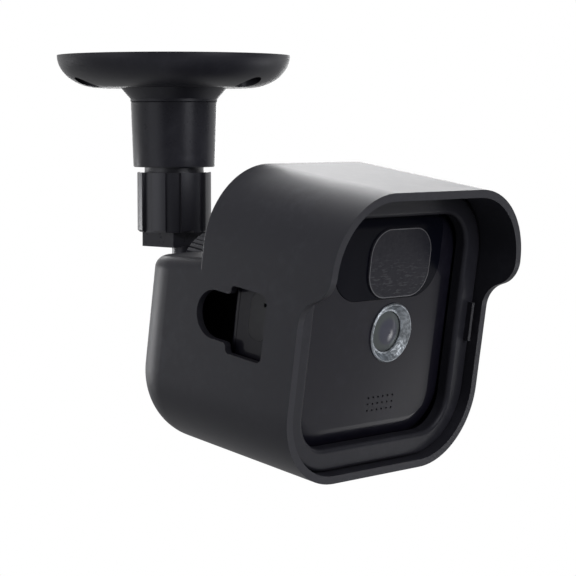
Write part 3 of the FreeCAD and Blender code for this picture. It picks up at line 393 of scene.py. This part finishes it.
def painted_highlight_window_edge():
    """Fine lip that runs round the motion window's front, pale grey as a painted highlight of the rim's
    edge.
    """
    form = bmesh.new()
    bmesh.ops.create_cube(form, size=1.0)
    inside = (WINDOW_WIDTH - 2 * LIP_WIDE, LIP_THICK, WINDOW_HEIGHT - 2 * LIP_WIDE)
    bmesh.ops.scale(form, verts=form.verts, vec=inside)
    corners = [edge for edge in form.edges if abs((edge.verts[0].co - edge.verts[1].co).y) > LIP_THICK / 2]
    bmesh.ops.bevel(form, geom=corners, offset=WINDOW_ROUND - LIP_WIDE, segments=LIP_CORNER_STEPS,
                    profile=0.5, affect="EDGES", material=-1)
    ends = [face for face in form.faces if abs(face.normal.y) > FACES_ALONG_Y]
    bmesh.ops.inset_individual(form, faces=ends, thickness=LIP_WIDE, use_even_offset=True)
    rims = [list(face.edges) for face in ends]
    bmesh.ops.delete(form, geom=ends, context="FACES_ONLY")
    bmesh.ops.bridge_loops(form, edges=rims[0] + rims[1])
    bmesh.ops.rotate(form, verts=form.verts, matrix=Matrix.Rotation(HEAD_PITCH, 3, "X"))
    bmesh.ops.translate(form, verts=form.verts, vec=in_head(FACE_X, LIP_FRONT, WINDOW_RISE))
    # Pale grey: a painted highlight of the window's rounded rim catching light, on a real thin bead.
    lip = moulded_plastic("window lip painted highlight", (0.09, 0.09, 0.1), 0.35, shine=0.4)
    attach(piece_from(form, "painted_highlight_window_edge", lip), "housing")


def lay_floor():
    """Pale floor well below the hanging part."""
    form = bmesh.new()
    bmesh.ops.create_grid(form, x_segments=1, y_segments=1, size=FLOOR_REACH)
    bmesh.ops.translate(form, verts=form.verts, vec=(0, 0, -FLOOR_DROP))
    piece_from(form, "studio_floor", floor_paint())


def set_world():
    """White surroundings with a dark room before the part, and a weak grey fill as light."""
    world = bpy.data.worlds.new("studio")
    bpy.context.scene.world = world
    sky = Graph(world)
    sky.tree.nodes.remove(sky.tree.nodes["Background"])
    ray = sky.node("ShaderNodeTexCoord", out="Generated")
    ends = {0: ray, 1: direction(ROOM_TURN, 0)}
    forward = sky.node("ShaderNodeVectorMath", {"operation": "DOT_PRODUCT"}, ends, out="Value")
    beyond = 1 - forward.over(ROOM_EDGE, ROOM_SOFT)
    fill, white = (sky.node("ShaderNodeBackground", None, {"Color": WHITE, "Strength": strength})
                   for strength in (WORLD_FILL, 1.0))
    sky.show("World Output", sky.blend(sky.white_share(beyond), fill, white))


def softbox(name, turn, rise, distance, size, power, grid=180, aim=PART_MIDDLE):
    """Area lamp that looks at the part from a turn and a rise. A grid narrows its beam."""
    lamp = bpy.data.lights.new(name, "AREA")
    lamp.shape = "RECTANGLE"
    lamp.size, lamp.size_y = size
    lamp.energy = power
    lamp.spread = math.radians(grid)
    out = direction(turn, rise)
    holder = bpy.data.objects.new(name, lamp)
    holder.location = Vector(aim) + out * distance
    holder.rotation_euler = out.to_track_quat("Z", "Y").to_euler()
    holder.visible_camera = False
    bpy.context.collection.objects.link(holder)


def set_lights():
    """A strong pair behind the part, a softer lamp before it, and small fills for its sides."""
    softbox("left softbox", turn=-105, rise=8, distance=0.9, size=(0.5, 0.8), power=0.8)
    softbox("front softbox", turn=-4, rise=22, distance=0.9, size=(0.38, 0.7), power=5.0)
    softbox("backdrop softbox", turn=133, rise=12, distance=1.0, size=(0.6, 0.7), power=4.7)
    softbox("backdrop high softbox", turn=148, rise=36, distance=1.0, size=(0.6, 0.5), power=4.4)
    softbox("rear near softbox", turn=-170, rise=-4, distance=0.232, size=(0.12, 0.14), power=0.012,
            grid=26, aim=REAR_BOX)
    softbox("low right softbox", turn=62.3, rise=-21, distance=0.9, size=(0.4, 0.4), power=0.041, grid=20)


def set_camera():
    """Stands the camera where the plate's centre falls on its pixel."""
    back = direction(CAMERA_TURN, CAMERA_RISE)
    right = Vector((0, 0, 1)).cross(back).normalized()
    up = back.cross(right)
    across, down = ((pixel - PICTURE_PX / 2) / FOCAL_PX * PLATE_DISTANCE for pixel in PLATE_CENTRE_PX)
    lens = bpy.data.cameras.new("photo camera")
    lens.lens = SENSOR_MM * FOCAL_PX / PICTURE_PX
    lens.sensor_width = SENSOR_MM
    lens.clip_start = NEAREST_SEEN
    camera = bpy.data.objects.new("photo camera", lens)
    spin = Matrix((right, up, back)).transposed().to_4x4()
    spot = back * PLATE_DISTANCE - right * across + up * down
    camera.matrix_world = Matrix.Translation(spot) @ spin
    bpy.context.collection.objects.link(camera)
    bpy.context.scene.camera = camera


bpy.context.scene.view_settings.view_transform = "Standard"
dress(finishes())
painted_highlight_window_edge()
lay_floor()
set_world()
set_lights()
set_camera()
